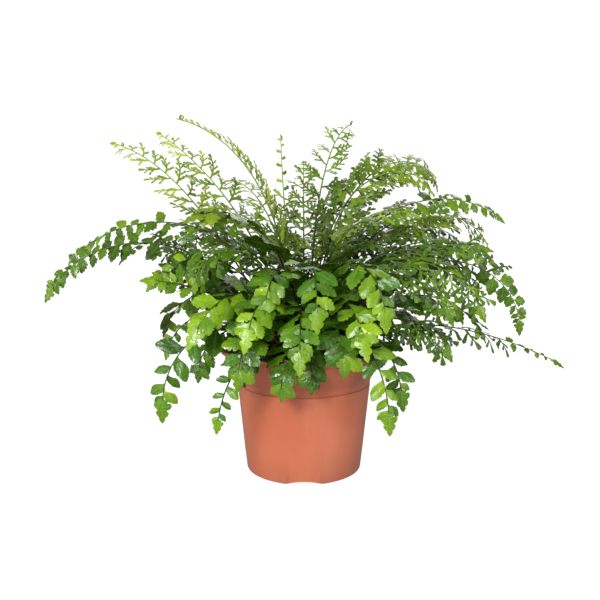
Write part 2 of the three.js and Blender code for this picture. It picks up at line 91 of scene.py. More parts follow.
# ---- Potting mix and crown ----
SOIL_Z = 84
SOIL_DOME = 2.5
SOIL_SIDE = [(0, 2.8), (30, 2.8), (42.6, 5.6), (49.4, 68), (55.4, 82)]
SOIL_RINGS = [10, 18, 25, 29, 32, 35, 38, 41, 44, 47, 50, 53, 55.4]
SOIL_EDGE = 1.9  # the mix's side, further than this under SOIL_Z, is smooth
SOIL_LOW = .5  # how far its rough top is set down
SOIL_RELIEF = (.22, .8)  # scale and height
SOIL_SEGMENTS = 120
CROWN_R = 27
CROWN_TOP = 8.5
CROWN_FOOT = (25, SOIL_Z - 4)
CROWN_RINGS = [26.4, 25, 23, 20.5, 18, 15, 12, 9, 6, 3]
CROWN_LOW = .6
CROWN_RELIEF = (.3, .9)
CROWN_SEGMENTS = 90
SOIL_SLOPE = [(CROWN_R + 1, SOIL_DOME), (36, 1.5), (46, 0), (57, -1.5)]  # radius, height over SOIL_Z
RELIEF_WAVES = (.8, 2, 4)  # the finer waves' fade and step in scale, and the count of all
GRANULES = 420
GRANULE_SIZE = (.7, 2.1)
GRANULE_RING = (26, 54)
GRANULE_ROUGH = .22
GRANULE_WIDE = (.45, .9)  # its other two sizes, by its length
GRANULE_TALL = (.35, .7)
GRANULE_UP = .1
SCALES = 420
SCALE_LONG = (2.5, 5)
SCALE_WIDE = (.3, .6)
SCALE_SHAPE = [(0, .7), (.45, 1), (.8, .5), (1, .06)]  # place along a scale, share of its width
SCALE_REACH = .96  # how much of the crown's area has them
SCALE_SUNK = 1
SCALE_OUT = (-.2, 1)  # its direction: outward, up, and how far it strays
SCALE_RISE = (.3, 1.2)
SCALE_STRAY = .4
SCALE_CURL = .8
SCALE_THICK = .3
SCALE_SIDES = 4
SCALE_TINT = (.2, 1)
EARTH_SHARP = 50

# ---- Fronds ----
STEM, LEAF = 0, 1  # a frond's two materials
CURVE_STEPS = 32
ROOT_ABOVE = 1.5  # where a rib's curve starts over the crown
ROOT_INSIDE = 5  # how far the stem goes down from there, into the crown
TIP_SHARE = .97
CROWDING = 1.45  # over 1 the leaflets stand closer together towards the tip
STEM_END = TIP_SHARE + .02  # it ends inside the end leaflet
STEM_STEPS = 44
STEM_SIDES = 8
STEM_FOOT = 1.25  # how much thicker a stem is at its root
STEM_TAPER = .8  # under 1 it thins soonest near its root
STEM_GREEN = (.4, 1.2)  # how soon it turns green: at least, and more by the leaves' brightness
FROND_SHARP = 42

# How the leaflets and pinnae of a frond differ. Angles are in degrees.
LEAFLET_LONG = (.82, 1.1)
LEAFLET_LIFT = (-.2, .16)  # out of the frond's face, by length
LEAFLET_ROLL = 24
LEAFLET_DROOP = (.7, 1.3)
LEAFLET_CUP = (-.35, .15)  # how far its sides bend down or up, by half width
LEAFLET_RIPPLE = .045
LEAFLET_TINT = .2
LEAN_SPREAD = 7
LEAN_FADE = 14  # how much less the last ones lean
RIPPLE_WAVES = (9, 4, 20)  # radians along a blade, across it, and for each unit of tint

# The end leaflet.
TIP_SLIM = .32
TIP_DROOP = .2
TIP_CUP = -.15
TIP_TINT = .24

# A pinna. Its rib's and segments' lengths are shares of its own.
PINNA_CURL = (.7, 1.2)  # share of the habit's curl
PINNA_RIB = .88
PINNA_SEGMENTED = .86
PINNA_LIFT = 6  # degrees up at its root
PINNA_SAG = 114  # degrees from there to its tip, where the habit's droop is 1
WING_SIDES = 4
WING_THICK = .25  # a pinna's winged rib, by its width
WING_VALUES = (.5, .3)  # what its material takes for a blade's length and its edge
SEGMENT_LONG = (.88, 1.12)
SEGMENT_LEAST = .55  # share of a segment's length on the shortest pinnae
SEGMENT_GROWTH = 60  # the length of pinna that would add a whole one
SEGMENT_FADE = .5  # how much shorter the last segments are
SEGMENT_FIRST = 1.15  # the one next to the frond's rib
SEGMENT_LIFT = (-.18, .12)
SEGMENT_TILT = .8
SEGMENT_DROOP = .6
SEGMENT_CUP = (-.25, .1)
SEGMENT_TINT = .1
END_LONG = .62  # the segment at a pinna's end
END_SUNK = .2
END_DROOP = .15
END_TINT = .08

# A young frond's tip, which is still rolled up.
CURL_R = 2.1
CURL_TURNS = 1.4
CURL_STEPS = 30
CURL_SIDES = 6
CURL_CLOSE = .7  # how much of its radius it loses
CURL_THICK = (1.1, 1.9)  # by the rib's thin end
CURL_VALUES = (.6, .5, .5)

# Half outlines of a blade, from its root to its tip, as (along, across in half widths). The
# front one is on the side towards the frond's tip.
OVAL_FRONT = [(0, .04), (.06, .1), (.13, .58), (.26, .93), (.44, 1), (.66, .86), (.84, .56), (.95, .28),
              (1, 0)]
OVAL_BACK = [(0, .04), (.1, .08), (.27, .44), (.46, .8), (.64, .86), (.81, .62), (.94, .3), (1, 0)]
SHIELD_FRONT = [(0, .05), (.04, .3), (.1, .82), (.24, 1), (.44, .88), (.66, .62), (.86, .34), (1, 0)]
SHIELD_BACK = [(0, .05), (.08, .12), (.2, .5), (.38, .78), (.58, .72), (.78, .48), (.93, .24), (1, 0)]
LOBED = [(0, .05), (.08, .22), (.18, .86), (.33, 1), (.52, .84), (.72, .56), (.88, .28), (1, 0)]
LEAFLET = [(0, .05), (.12, .16), (.3, .84), (.46, 1), (.7, .78), (.9, .42), (1, 0)]
FINGER = [(0, .2), (.3, .55), (.6, .92), (.8, 1), (.93, .7), (1, 0)]
WEDGE = [(0, .24), (.25, .5), (.55, .92), (.78, 1), (.93, .62), (1, .22), (1, 0)]

# A blade's grid: its front and back half outlines, the rounded teeth on each half, the depth of
# the notches between them, the share of the half outline before the first tooth, how far up the
# midrib the veins start, the rows for each tooth and the columns to the edge.
BLADES = {
    "oval": (OVAL_FRONT, OVAL_BACK, 6, .26, .2, .7, 4, 3),
    "leaflet": (LEAFLET, LEAFLET, 4, .26, .18, .6, 3, 2),
    "shield": (SHIELD_FRONT, SHIELD_BACK, 5, .28, .18, .5, 4, 2),
    "lobed": (LOBED, LOBED, 4, .45, .12, .8, 5, 3),
    "finger": (FINGER, FINGER, 2, .22, .5, .7, 3, 1),
    "wedge": (WEDGE, WEDGE, 2, .5, .52, .4, 3, 1),
    "scalloped": (OVAL_FRONT, OVAL_BACK, 7, .11, .2, .7, 4, 3),
}
BLADE_VARIANTS = 6
BLADE_T = .34
EDGE_THIN = .55  # how much thinner a blade is at its edge
TOOTH_ROUND = .6
TOOTH_SPREAD = .35  # how much the notches differ in depth
TIP_PLAIN = .75  # how much shallower they are at a blade's tip
MIDRIB_END = .94
VEIN_SPREAD = .9  # under 1 the veins start further up the midrib

# The habits. slot: its material; count: leaflets or pinnae; long: the longest; taper: the last
# one's share of it; fade: over 1 they stay long for longer; lean: angle to the rib; tilt: how far
# they turn about the rib; fold: how far they stand out of the frond's face, by length; droop: sag
# by length; crowding: see CROWDING; tip: the end leaflet's length. What is no longer than single
# is one blade, single_long times as long and of half width slim by length. The others are pinnae
# and carry segments, a spacing apart, on a rib with wings, whose half width is wing at its root
# and tip. They curl by that many degrees towards the frond's tip. rib: the stem's radius at its
# root and tip; ripe: where it turns green, and how fast; young: painted shade, how much
# darker the first leaflets, nearer the crown, are than the last.
LEAFY = dict(
    slot="leaf_green", count=15, long=29, taper=.38, fade=1.1, lean=60, tilt=20, droop=.24, tip=18,
    tip_blade="lobed", blade="oval", slim=.34, single=99, single_long=1, rib=(.85, .4), ripe=(.55, 1.2),
    young=.5,
)
BUSHY = dict(LEAFY, count=18, long=33, slim=.36, taper=.45, tilt=34)
TRAILING = dict(LEAFY, count=14, long=26, slim=.29, blade="scalloped")
HANGING = dict(LEAFY, long=28, taper=.6, slim=.36, tip=17)
ARCHING = dict(
    slot="leaf_deep_green", count=26, long=33, taper=.26, fade=1.1, lean=64, tilt=26, droop=.35, tip=14,
    tip_blade="lobed", blade="leaflet", slim=.42, single=21, single_long=.72, spacing=4, segment=9.4,
    segment_lean=52, segment_slim=.4, segment_blade="leaflet", curl=18, wing=(1.1, .6), rib=(.85, .3),
    ripe=(.32, 1.5), young=.3,
)
FANNED = dict(
    ARCHING, count=34, single=25, single_long=.62, blade="shield", slim=.44, taper=.36, fade=1, tilt=34,
)
COMBED = dict(
    ARCHING, count=24, long=36, tilt=24, single=10, single_long=.9, spacing=3.6, segment=11.5,
    segment_slim=.2, segment_lean=44, segment_blade="finger", wing=(1, .5), curl=26,
)
TAILED = dict(COMBED, taper=.08, fade=.62, long=38)
FEATHERY = dict(
    slot="leaf_light_green", count=23, long=36, taper=.12, fade=.95, lean=74, tilt=16, droop=.18, tip=7,
    tip_blade="leaflet", blade="wedge", slim=.4, single=7, single_long=.9, spacing=3, segment=9,
    segment_lean=36, segment_slim=.2, segment_blade="wedge", curl=44, wing=(.9, .5), rib=(.95, .35),
    ripe=(.3, 2.6), young=.6, crowding=1.2,
)
PLUMED = dict(FEATHERY, count=26, long=35, taper=.4, fade=1.2, segment=9.2, segment_slim=.32, young=.4)
SPRIG = dict(FEATHERY, count=17, long=24, taper=.14, fade=.4)
FURLED = dict(
    FEATHERY, count=40, long=20, taper=.16, fade=.8, lean=40, fold=.7, tilt=10, spacing=2.4, segment=7,
    segment_slim=.34,
)
CRESTED = dict(LEAFY, slot="leaf_light_green", count=17, long=27, taper=.5, blade="lobed", slim=.4)
BROAD = dict(FEATHERY, count=22, long=38, taper=.08, fade=1.35)

# Every frond, as in the CAD model: [name, habit, root radius, azimuth, length, rise, fall,
# bend, turn, size], then how bright its leaves are, from 0 for old to 1 for young and partly
# painted light, paler where a frond's leaves stand in for light on them and darker for shade, and
# the share of its length that is bare stem. rise and fall: the rib's slope at its root and tip;
# bend: over 1 it stays up for longer; turn: how far the frond's face turns about the rib by its tip.
FRONDS = [
    ["upright_right_low", PLUMED, 5, 20, 200, 85, -45, 2.5, 50, 1, .3, .34],
    ["upright_right_arch", PLUMED, 9.5, 40, 240, 85, -40, 1.8, 50, 1, .3, .34],
    ["upright_right_tall", BROAD, 9.5, 65, 215, 86, 5, 2.4, 30, 1, .35, .34],
    ["upright_right_wide", PLUMED, 18.5, 22, 212, 86, -45, 1.3, 45, 1, .3, .34],
    ["upright_back", FEATHERY, 9.5, 90, 170, 84, 30, 1.5, 0, 1, .3, .34],
    ["upright_centre", SPRIG, 5, 110, 175, 62, 85, 1, 0, 1, .4, .34],
    ["upright_back_left", FEATHERY, 9.5, 125, 190, 80, -10, 1.8, -15, 1, .5, .34],
    ["upright_left_tall", FEATHERY, 9.5, 150, 220, 76, 28, 1, -50, 1, .5, .34],
    ["upright_left_wide", FEATHERY, 14, 162, 225, 58, 12, 3, -50, 1, .5, .34],
    # Painted light: upright_left_high's leaves are paler to make up for its dark, edge-on segments.
    ["upright_left_high", FURLED, 5, 170, 215, 84, 10, 2.2, -10, 1, .8, .34],
    ["upright_left_front", CRESTED, 5, 222, 160, 84, -15, 1.8, -20, 1, .2, .34],
    ["upright_right_front", FEATHERY, 5, 320, 165, 84, -20, 1.8, 20, 1, .3, .34],
    ["arch_left_upper", FANNED, 9.5, 176, 234, 88, -45, 1, -45, .9, .45, .3],
    ["arch_left_lower", FANNED, 14, 188, 225, 62, -61, 1.55, -60, 1, .35, .3],
    ["arch_left_near", LEAFY, 14, 206, 123, 53, 8, 1, -50, .75, .55, .3],
    ["arch_left_short", FANNED, 18.5, 197, 130, 58, -55, 3, -50, 1, .3, .3],
    ["arch_left_front", TRAILING, 9.5, 202, 140, 61, -71, 3, -50, .8, .5, .3],
    ["arch_left_inner", COMBED, 18.5, 218, 150, 88, -88, 2.1, -40, .8, .4, .3],
    ["arch_front_left", LEAFY, 9.5, 250, 120, 85, -80, 2, -15, 1, .5, .25],
    ["arch_front", LEAFY, 9.5, 275, 145, 85, -82, 1.7, 0, 1, .5, .25],
    ["arch_front_right", LEAFY, 9.5, 300, 155, 80, -84, 1.75, 20, 1, .5, .25],
    ["arch_right_front", COMBED, 14, 318, 160, 78, -60, 1.3, 40, .75, .28, .25],
    ["arch_right_low", COMBED, 9.5, 338, 180, 84, -66, 1.2, 50, 1, .42, .25],
    ["arch_right_near", COMBED, 14, 350, 160, 84, -10, .9, 35, 1, .35, .25],
    ["arch_right_mid", COMBED, 23, 2, 176, 84, -78, 1.5, 50, 1, .25, .25],
    ["arch_right_far", ARCHING, 14, 8, 186, 83, -39, 1.1, 45, .9, .4, .25],
    ["arch_right_drooping", ARCHING, 18.5, 356, 203, 62, -88, 1.66, 75, 1, .35, .25],
    ["arch_right_upper", ARCHING, 9.5, 12, 222, 87, -35, 1.25, 45, 1, .4, .25],
    ["arch_back_1", COMBED, 14, 30, 205, 76, -50, 1.4, 0, 1, .45, .16],
    ["arch_back_2", ARCHING, 14, 52, 195, 80, -35, 1.2, 0, 1, .45, .16],
    ["arch_back_3", COMBED, 14, 76, 205, 76, -55, 1.3, 0, 1, .45, .16],
    ["arch_back_4", ARCHING, 14, 101, 190, 80, -40, 1.1, 0, 1, .45, .16],
    ["arch_back_5", COMBED, 14, 136, 205, 74, -50, 1.3, 0, 1, .45, .16],
    ["mid_front_left", LEAFY, 14, 226, 125, 86, -55, 1.1, -35, 1.15, .6, .2],
    ["mid_front", LEAFY, 14, 246, 116, 86, -65, 1.3, -20, 1.05, .6, .2],
    ["mid_front_centre", LEAFY, 14, 268, 112, 86, -70, 1.1, 0, 1, .5, .2],
    ["mid_front_right", LEAFY, 14, 294, 118, 86, -65, 1.2, 20, 1.1, .62, .2],
    ["mid_back_right", BUSHY, 23, 54, 110, 80, -70, 1.1, 0, 1.05, .6, .08],
    ["mid_back_left", BUSHY, 18.5, 105, 112, 84, -70, 1.1, 0, 1.05, .6, .08],
    ["low_right_long", TAILED, 18.5, 343, 179, 63, -25, .43, 20, .8, .28, .24],
    ["low_right_inner", COMBED, 23, 330, 112, 50, -62, 1.6, 50, .8, .28, .24],
    ["low_front_right_side", TRAILING, 18.5, 320, 102, 84, -84, .75, 50, 1.05, .35, .1],
    ["low_front_right_long", TRAILING, 23, 300, 126, 78, -85, .8, 30, 1, .48, .1],
    ["low_front_right", HANGING, 18.5, 289, 98, 86, -85, 1.2, 20, 1, .38, .1],
    ["low_front", HANGING, 23, 274, 70, 74, -85, 1, 0, .68, .26, .1],
    ["low_front_left", HANGING, 18.5, 258, 78, 62, -84, 1, 0, .68, .3, .1],
    ["low_left_bright", HANGING, 18.5, 240, 106, 86, -85, 1, -25, .95, .42, .1],
    ["low_left_over_rim", TRAILING, 23, 233, 101, 62, -79, .69, -37, .7, .5, .1],
    ["low_left_long", TRAILING, 23, 214, 134, 64, -88, 1, -50, 1.15, .4, .1],
    ["low_left_inner", HANGING, 23, 199, 88, 86, -86, .85, -60, .76, .3, .1],
    ["low_left_side", TRAILING, 23, 184, 110, 72, -75, 1.1, -60, .7, .4, .1],
    ["low_back_1", BUSHY, 23, 12, 150, 66, -55, 1, 0, 1, .5, .08],
    ["low_back_2", BUSHY, 18.5, 42, 140, 70, -65, 1, 0, 1, .4, .08],
    ["low_back_3", BUSHY, 18.5, 66, 150, 66, -60, 1, 0, 1, .55, .08],
    ["low_back_4", BUSHY, 18.5, 92, 140, 70, -65, 1, 0, 1, .4, .08],
    ["low_back_5", BUSHY, 18.5, 118, 150, 66, -60, 1, 0, 1, .55, .08],
    ["low_back_6", BUSHY, 18.5, 150, 145, 68, -60, 1, 0, 1, .45, .08],
]

# Fronds whose tips are still rolled up.
ROLLED = ["upright_left_high", "upright_right_tall", "upright_centre"]

# ---- Light: a soft sun and lamps, as name, place in metres, width, height and power ----
SUN_PLACE = (-.42, -1.05, .84)
SUN_POWER = 2.62
SUN_ANGLE = 24
LAMPS = [
    ("key", (-.5, -1.05, .72), .14, .14, 3.6),
    ("front", (.06, -1.3, .3), .12, .9, 5),
    ("side_right", (1, -.5, .35), .25, .9, 5),
    ("side_left", (-1, -.35, .35), .25, .9, 4),
    ("back", (.25, 1.2, .75), .9, .9, 6),
]
LIT_PLACE = (0, 0, .13)  # where they all point, in metres
SKY_POWER = .2  # what lights the plant; the camera sees a white backdrop
BACKDROP_POWER = 1.1
FLOOR_SIZE = 30
FLOOR_GLOW = .86  # keeps the floor as white as the backdrop

# ---- Colours, as sRGB; a ramp's are in the order of its tone ----
LEAF_RAMPS = {
    "leaf_green": [(18, 48, 2), (58, 104, 8), (138, 174, 20)],
    "leaf_deep_green": [(24, 48, 2), (72, 108, 8), (138, 166, 24)],
    "leaf_light_green": [(46, 72, 4), (112, 138, 20), (174, 190, 54)],
}
LEAF_VEIN = (140, 178, 60)
VEIN_WAVES = 62.0  # radians from a blade's root to its tip
LEAF_MIDRIB = (150, 184, 70)
LEAF_MARGIN = (160, 188, 50)
STEM_RAMP = [(22, 18, 8), (46, 54, 14), (84, 116, 22), (118, 150, 42)]
STEM_STREAK = (44, 38, 12)
POT_COLOUR = (181, 97, 67)
POT_CLOUD = (190, 108, 78)
POT_STREAK = (200, 122, 97)
# painted shade: the pot darkens towards the ground
POT_LOW_SHADE = (150, 92, 66)
LOW_SHADE_TOP = 35  # mm over the ground, where the painted shade near the ground fades out
# painted shade: the dark line along the crease
POT_CREASE_SHADE = (92, 44, 30)
MIX_RAMP = [(16, 11, 8), (46, 32, 22), (88, 62, 42)]
CROWN_RAMP = [(18, 11, 7), (58, 34, 18), (104, 66, 36)]
PAPER = (158, 158, 158)
PAPER_SHADE = (152, 152, 152)


def unit(vector):
    return vector / np.linalg.norm(vector)


def turned(vector, axis, degrees):
    """vector turned about a unit axis."""
    c, s = math.cos(math.radians(degrees)), math.sin(math.radians(degrees))
    return vector * c + np.cross(axis, vector) * s + axis * np.dot(axis, vector) * (1 - c)


def level(angle):
    """The level unit vector at an angle round the z axis."""
    return np.array([math.cos(angle), math.sin(angle), 0])


def either(rng, most, count=None):
    """A random number, or an array of them, from -most to most."""
    return rng.uniform(-most, most, count)


def linear(colour):
    """An sRGB colour of 0 to 255 as the linear colour that a shader takes."""
    parts = [c / 255 for c in colour]
    return (*(p / 12.92 if p <= .04045 else ((p + .055) / 1.055) ** 2.4 for p in parts), 1)


# ---- Meshes ----
def shade(mesh, sharp):
    """Smooth shading, apart from the edges that turn by more than sharp degrees."""
    mesh.shade_smooth()
    mesh.set_sharp_from_angle(angle=math.radians(sharp))


def show(name, data):
    """A new object in the scene."""
    made = bpy.data.objects.new(name, data)
    bpy.context.scene.collection.objects.link(made)
    return made


class Parts:
    """Vertices and faces gathered for one piece, in millimetres. Each vertex has three values
    for its material: tint, place across the veins and place towards the edge."""

    def __init__(self):
        self.points = []
        self.faces = []
        self.values = []
        self.slots = []
        self.count = 0

    def add(self, points, faces, values, slot=0):
        self.points.append(points)
        self.values.append(np.broadcast_to(values, (len(points), 3)))
        self.faces.extend([corner + self.count for corner in face] for face in faces)
        self.slots.extend([slot] * len(faces))
        self.count += len(points)

    def object(self, name, materials, sharp):
        mesh = bpy.data.meshes.new(name)
        mesh.from_pydata((np.concatenate(self.points) * MM).tolist(), [], self.faces)
        values = mesh.attributes.new("values", "FLOAT_VECTOR", "POINT")
        values.data.foreach_set("vector", np.concatenate(self.values).astype(np.float32).ravel())
        mesh.polygons.foreach_set("material_index", self.slots)
        for material in materials:
            mesh.materials.append(material)
        shade(mesh, sharp)
        return show(name, mesh)


def tube(parts, centres, across, radii, sides, values, slot=0):
    """A closed tube along centres. across holds its ring's half axes at each, left and up, which
    radii scale."""
    angles = np.arange(sides) * 2 * math.pi / sides
    rings = [
        centre + radius * (np.outer(np.cos(angles), left) + np.outer(np.sin(angles), up))
        for centre, (left, up), radius in zip(centres, across, radii)
    ]
    faces = [
        (i * sides + j, i * sides + (j + 1) % sides, (i + 1) * sides + (j + 1) % sides, (i + 1) * sides + j)
        for i in range(len(rings) - 1) for j in range(sides)
    ]
    faces.append(tuple(reversed(range(sides))))
    faces.append(tuple(range((len(rings) - 1) * sides, len(rings) * sides)))
    parts.add(np.concatenate(rings), faces, np.repeat(values, sides, axis=0), slot)


# ---- Blades ----
def smooth_half(outline, shares):
    """Points of a half outline at shares of its length, on a curve through its points."""
    corners = np.array(outline, float)
    stops = np.concatenate([[0], np.cumsum(np.linalg.norm(np.diff(corners, axis=0), axis=1))])
    stops /= stops[-1]
    padded = np.vstack([2 * corners[0] - corners[1], corners, 2 * corners[-1] - corners[-2]])
    made = []
    for share in shares:
        i = min(int(np.searchsorted(stops, share, side="right")) - 1, len(corners) - 2)
        t = (share - stops[i]) / (stops[i + 1] - stops[i])
        p0, p1, p2, p3 = padded[i:i + 4]
        made.append(.5 * (2 * p1 + (p2 - p0) * t + (2 * p0 - 5 * p1 + 4 * p2 - p3) * t * t
                          + (3 * p1 - p0 - 3 * p2 + p3) * t ** 3))
    return np.array(made)


class Blade:
    """The grid of one blade, a unit long and a unit wide on each side of its midrib."""

    def __init__(self, front, back, teeth, cut, first, vein, rows, columns, rng):
        base = max(2, round(rows * first * teeth * .5))
        shares = np.concatenate([
            np.linspace(0, first, base, endpoint=False), np.linspace(first, 1, teeth * rows + 1),
        ])
        phase = np.concatenate([np.full(base, .5), np.arange(teeth * rows + 1) / rows])
        notch = 1 - np.abs(np.sin(np.pi * phase)) ** TOOTH_ROUND
        notch[-1] = 0
        along = shares ** VEIN_SPREAD * vein + (MIDRIB_END - vein) * shares ** 3
        middle = np.stack([along, np.zeros_like(along)], axis=1)
        self.rows, self.columns = len(shares) - 1, columns
        halves = []
        for outline in (front, back):
            edge = smooth_half(outline, shares)
            depth = cut * (1 + either(rng, TOOTH_SPREAD, len(shares)))
            depth *= 1 - TIP_PLAIN * shares ** 3
            halves.append(middle + (edge - middle) * (1 - depth * notch)[:, None])
        steps = np.linspace(0, 1, columns + 1)
        points, values = [], []
        for j in range(self.rows + 1):
            for k in range(-columns if j < self.rows else 0, columns + 1):
                hand = 1 if k >= 0 else -1
                edge = halves[0 if k < 0 else 1][j] * (1, hand)
                points.append(middle[j] + (edge - middle[j]) * steps[abs(k)])
                values.append((shares[j] * hand, steps[abs(k)]))
        self.flat = np.array(points)
        self.values = np.array(values)
        self.faces = self.make_faces()

    def index(self, j, k):
        """The vertex of row j in column k. The last row is the tip, where both halves are one."""
        wide = 2 * self.columns + 1
        return j * wide + k + self.columns if j < self.rows else self.rows * wide + abs(k)

    def make_faces(self):
        """Both faces of the blade and the wall round its edge."""
        n, c, at = self.rows, self.columns, self.index
        top = [
            (at(j, k), at(j + 1, k), at(j + 1, k + 1), at(j, k + 1)) for j in range(n) for k in range(-c, c)
        ]
        count = len(self.flat)
        loop = [at(j, -c) for j in range(n)] + [at(j, c) for j in range(n, -1, -1)]
        loop += [at(0, k) for k in range(c - 1, -c, -1)]
        wall = [(b, a, a + count, b + count) for a, b in zip(loop, loop[1:] + loop[:1])]
        under = [tuple(i + count for i in reversed(face)) for face in top]
        return top + under + wall

    def place(self, parts, root, axis, normal, length, width, droop, cup, tint, mirror, ripple=0):
        """Adds the blade to parts: from root along axis, with its upper face towards normal.
        width is half of its own."""
        across = np.cross(normal, axis)
        x = self.flat[:, 0]
        y = self.flat[:, 1] * (-1 if mirror else 1)
        sag = droop * x
        out = length * x * (1 - sag * sag / 3)
        height = -length * x * sag + cup * width * y * y
        by_x, by_y, by_tint = RIPPLE_WAVES
        height = height + ripple * length * np.sin(by_x * x + by_y * y + by_tint * tint) * np.abs(y)
        points = root + np.outer(out, axis) + np.outer(y * width, across) + np.outer(height, normal)
        facing = normal + np.outer(2 * sag, axis)
        facing /= np.linalg.norm(facing, axis=1)[:, None]
        half = BLADE_T / 2 * (1 - EDGE_THIN * self.values[:, 1:] ** 2)
        both = np.concatenate([points + facing * half, points - facing * half])
        values = np.column_stack([np.full(len(x), tint), self.values])
        faces = [tuple(reversed(face)) for face in self.faces] if mirror else self.faces
        parts.add(both, faces, np.concatenate([values, values]), LEAF)


def make_blades():
    rng = np.random.default_rng(SEED)
    return {name: [Blade(*form, rng) for _ in range(BLADE_VARIANTS)] for name, form in BLADES.items()}


# ---- Fronds ----
def crown_height(radius):
    """The height of the crown's dome, which runs a little past the crown's edge."""
    return SOIL_Z + CROWN_TOP * math.sqrt(max(0, 1 - (radius / (CROWN_R + 2)) ** 2))


class Rib:
    """The curve of a frond's stem and rib, by the same rule as its CAD node."""

    def __init__(self, radius, azimuth, length, rise, fall, bend, turn):
        self.heading = level(math.radians(azimuth))
        self.rise, self.fall, self.bend, self.turn = rise, fall, bend, turn
        slopes = self.slope((np.arange(CURVE_STEPS) + .5) / CURVE_STEPS)
        steps = np.outer(np.cos(slopes), self.heading) + np.outer(np.sin(slopes), (0, 0, 1))
        start = self.heading * radius + (0, 0, crown_height(radius) + ROOT_ABOVE)
        self.points = np.vstack([start, start + np.cumsum(steps, axis=0) * length / CURVE_STEPS])

    def slope(self, share):
        return np.radians(self.rise + (self.fall - self.rise) * share ** self.bend)

    def frame(self, share):
        """The place on the rib at a share of its length, and along, left and up there."""
        at = min(share * CURVE_STEPS, CURVE_STEPS - 1e-9)
        i = int(at)
        place = self.points[i] + (self.points[i + 1] - self.points[i]) * (at - i)
        slope = self.slope(share)
        along = self.heading * math.cos(slope) + np.array([0, 0, math.sin(slope)])
        left = np.array([-self.heading[1], self.heading[0], 0])
        left = turned(left, along, self.turn * share)
        return place, along, left, np.cross(along, left)


def grow_stem(parts, rib, habit, brightness):
    """The stem and rib in one, from inside the crown to inside the end leaflet."""
    shares = np.linspace(0, STEM_END, STEM_STEPS)
    frames = [rib.frame(share) for share in shares]
    root = frames[0][0] - (0, 0, ROOT_INSIDE)
    centres = [root] + [place for place, *_ in frames]
    across = [frames[0][2:]] + [(left, up) for _, _, left, up in frames]
    thick, thin = habit["rib"]
    radii = thick + (thin - thick) * shares ** STEM_TAPER
    start, rate = habit["ripe"]
    least, more = STEM_GREEN
    green = np.clip((shares - start) * rate * (least + more * brightness), 0, 1)
    values = np.column_stack([np.r_[0, green], np.r_[0, shares], np.zeros(len(centres))])
    tube(parts, centres, across, [thick * STEM_FOOT, *radii], STEM_SIDES, values, STEM)


def pinna_rib(habit, root, axis, normal, side, length, curl, steps):
    """The places on a pinna's rib, and its direction and upper side at each of them."""
    toward = np.cross(axis, normal) * side
    places, frames = [root], [(axis, normal)]
    for i in range(steps):
        share = (i + .5) / steps
        turn = math.radians(curl * share)
        heading = unit(axis * math.cos(turn) + toward * math.sin(turn))
        lift = math.radians(PINNA_LIFT - PINNA_SAG * habit["droop"] * share)
        out = heading * math.cos(lift) + normal * math.sin(lift)
        places.append(places[-1] + out * length * PINNA_RIB / steps)
        frames.append((out, unit(normal * math.cos(lift) - heading * math.sin(lift))))
    return places, frames


def grow_pinna(parts, blades, habit, root, axis, normal, side, length, tint, rng):
    """A pinna: a thin rib with segments on both sides and one at its end."""
    steps = 1 + max(2, round(length * PINNA_SEGMENTED / habit["spacing"]))
    curl = habit["curl"] * rng.uniform(*PINNA_CURL)
    places, frames = pinna_rib(habit, root, axis, normal, side, length, curl, steps)
    across = [(np.cross(up, out), up * WING_THICK) for out, up in frames]
    widths = np.linspace(*habit["wing"], len(places))
    values = np.tile((tint, *WING_VALUES), (len(places), 1))
    tube(parts, places, across, widths, WING_SIDES, values, LEAF)
    kind = blades[habit["segment_blade"]]
    full = habit["segment"] * min(1, SEGMENT_LEAST + length / SEGMENT_GROWTH)
    for i in range(1, steps):
        out, up = frames[i]
        hand = side if i % 2 else -side
        size = full * (1 - SEGMENT_FADE * i / steps) * rng.uniform(*SEGMENT_LONG)
        if i == 1:
            size *= SEGMENT_FIRST
        lean = habit["segment_lean"] + either(rng, LEAN_SPREAD)
        facing = turned(up, out, either(rng, habit["tilt"]) * SEGMENT_TILT)
        heading = turned(out, facing, -hand * side * lean)
        heading = unit(heading + facing * rng.uniform(*SEGMENT_LIFT))
        facing = unit(facing - heading * np.dot(facing, heading))
        kind[rng.integers(BLADE_VARIANTS)].place(
            parts, places[i], heading, facing, size, size * habit["segment_slim"],
            habit["droop"] * SEGMENT_DROOP, rng.uniform(*SEGMENT_CUP),
            tint + either(rng, SEGMENT_TINT), hand < 0)
    out, up = frames[-1]
    size = habit["segment"] * END_LONG
    kind[rng.integers(BLADE_VARIANTS)].place(
        parts, places[-1] - out * END_SUNK, out, up, size, size * TIP_SLIM, END_DROOP, 0, tint + END_TINT,
        False)


